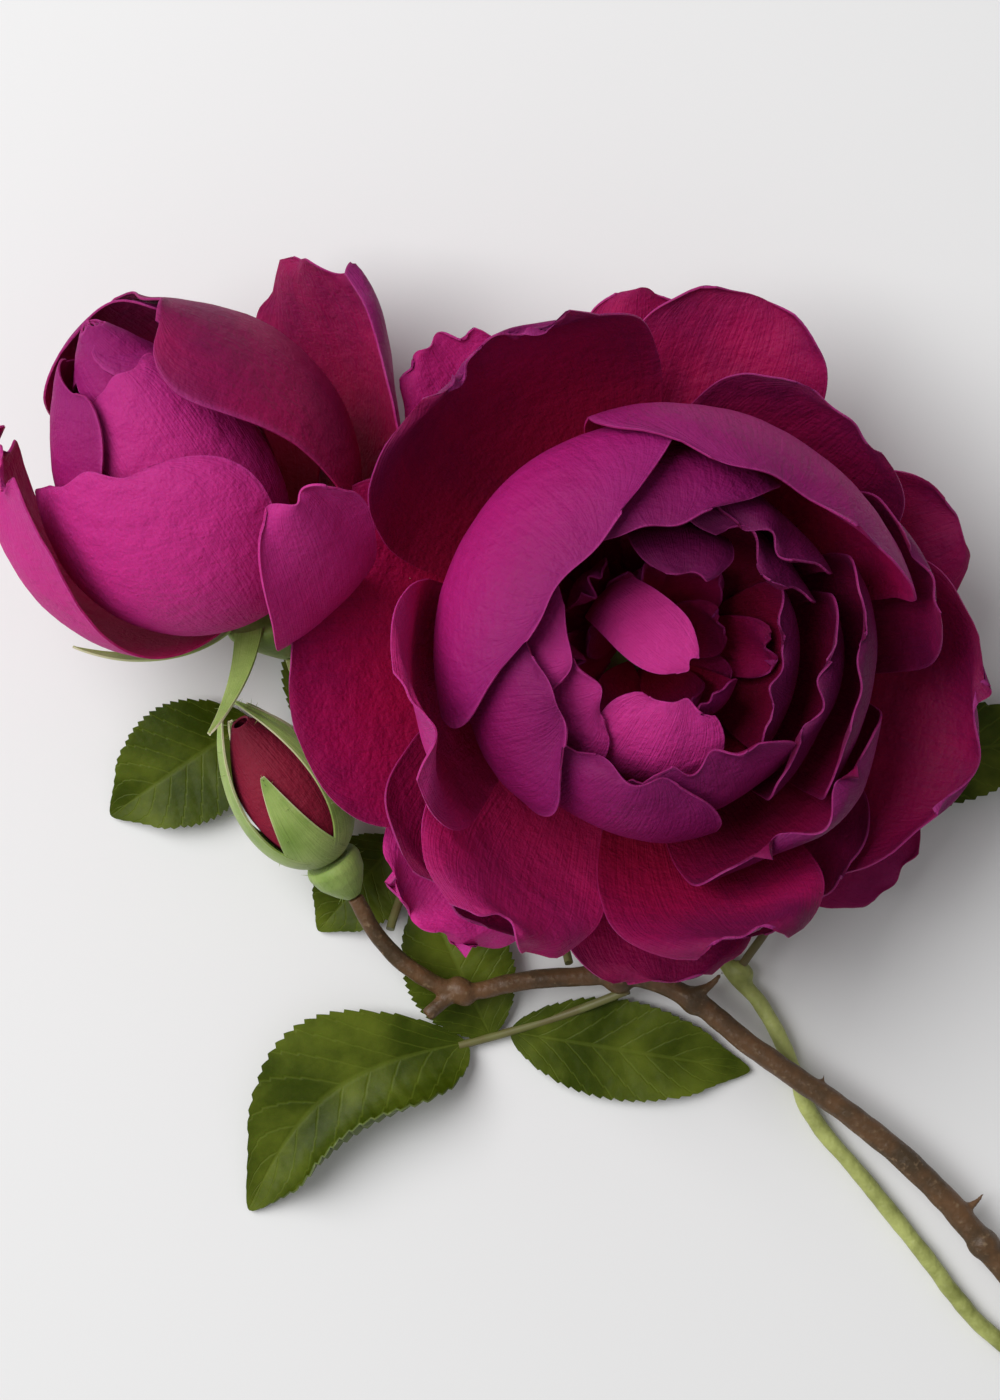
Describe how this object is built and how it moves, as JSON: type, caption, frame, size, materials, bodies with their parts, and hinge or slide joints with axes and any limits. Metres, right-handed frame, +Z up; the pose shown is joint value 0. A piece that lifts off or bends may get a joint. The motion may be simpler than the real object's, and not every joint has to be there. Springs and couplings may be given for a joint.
{
  "type": "cut rose",
  "caption": "Cut garden rose spray laid on a surface: one wide many-petalled bloom, one half open bloom and a bud on a branched thorny stem with leaves.",
  "frame": {"origin": "middle of the spray's footprint, on the surface it lies on", "axes": "+Z up from the surface, out of the wide bloom's face; +Y from the cut end's side towards the half open bloom's tip; +X towards the cut end's side"},
  "size_m": [0.1722, 0.183, 0.0576],
  "materials": {
    "petal": "velvety, crimson to magenta",
    "bud_petal": "velvety wine red",
    "heart": "powdery stamens",
    "calyx": "satin green",
    "leaf": "satin dark green",
    "stem": "smooth brown bark and green shoot"
  },
  "bodies": {
    "root": {"big_bloom_heart": "heart", "big_calyx": "calyx", "big_petal_cup_01": "petal", "big_petal_cup_02": "petal", "big_petal_cup_03": "petal", "big_petal_cup_04": "petal", "big_petal_cup_05": "petal", "big_petal_cup_06": "petal", "big_petal_cup_07": "petal", "big_petal_cup_08": "petal", "big_petal_cup_09": "petal", "big_petal_cup_10": "petal", "big_petal_cup_11": "petal", "big_petal_cup_12": "petal", "big_petal_guard_01": "petal", "big_petal_guard_02": "petal", "big_petal_guard_03": "petal", "big_petal_guard_04": "petal", "big_petal_guard_05": "petal", "big_petal_guard_06": "petal", "big_petal_guard_07": "petal", "big_petal_guard_08": "petal", "big_petal_guard_09": "petal", "big_petal_guard_10": "petal", "big_petal_guard_11": "petal", "big_petal_guard_12": "petal", "big_petal_guard_13": "petal", "big_petal_inner_01": "petal", "big_petal_inner_02": "petal", "big_petal_inner_03": "petal", "big_petal_inner_04": "petal", "big_petal_inner_05": "petal", "big_petal_inner_06": "petal", "big_petal_inner_07": "petal", "big_petal_inner_08": "petal", "big_petal_inner_09": "petal", "big_petal_inner_10": "petal", "bud_calyx": "calyx", "bud_petal_1": "bud_petal", "bud_petal_2": "bud_petal", "bud_petal_3": "bud_petal", "bud_petal_4": "bud_petal", "leaf_front": "leaf", "leaf_left": "leaf", "leaf_node": "leaf", "leaf_right": "leaf", "small_calyx": "calyx", "small_petal_cup_1": "petal", "small_petal_cup_2": "petal", "small_petal_cup_3": "petal", "small_petal_guard_1": "petal", "small_petal_guard_2": "petal", "small_petal_guard_3": "petal", "small_petal_inner_1": "petal", "small_petal_inner_2": "petal", "small_petal_inner_3": "petal", "small_petal_inner_4": "petal", "small_petal_inner_5": "petal", "stem": "stem"}
  },
  "joints": []
}
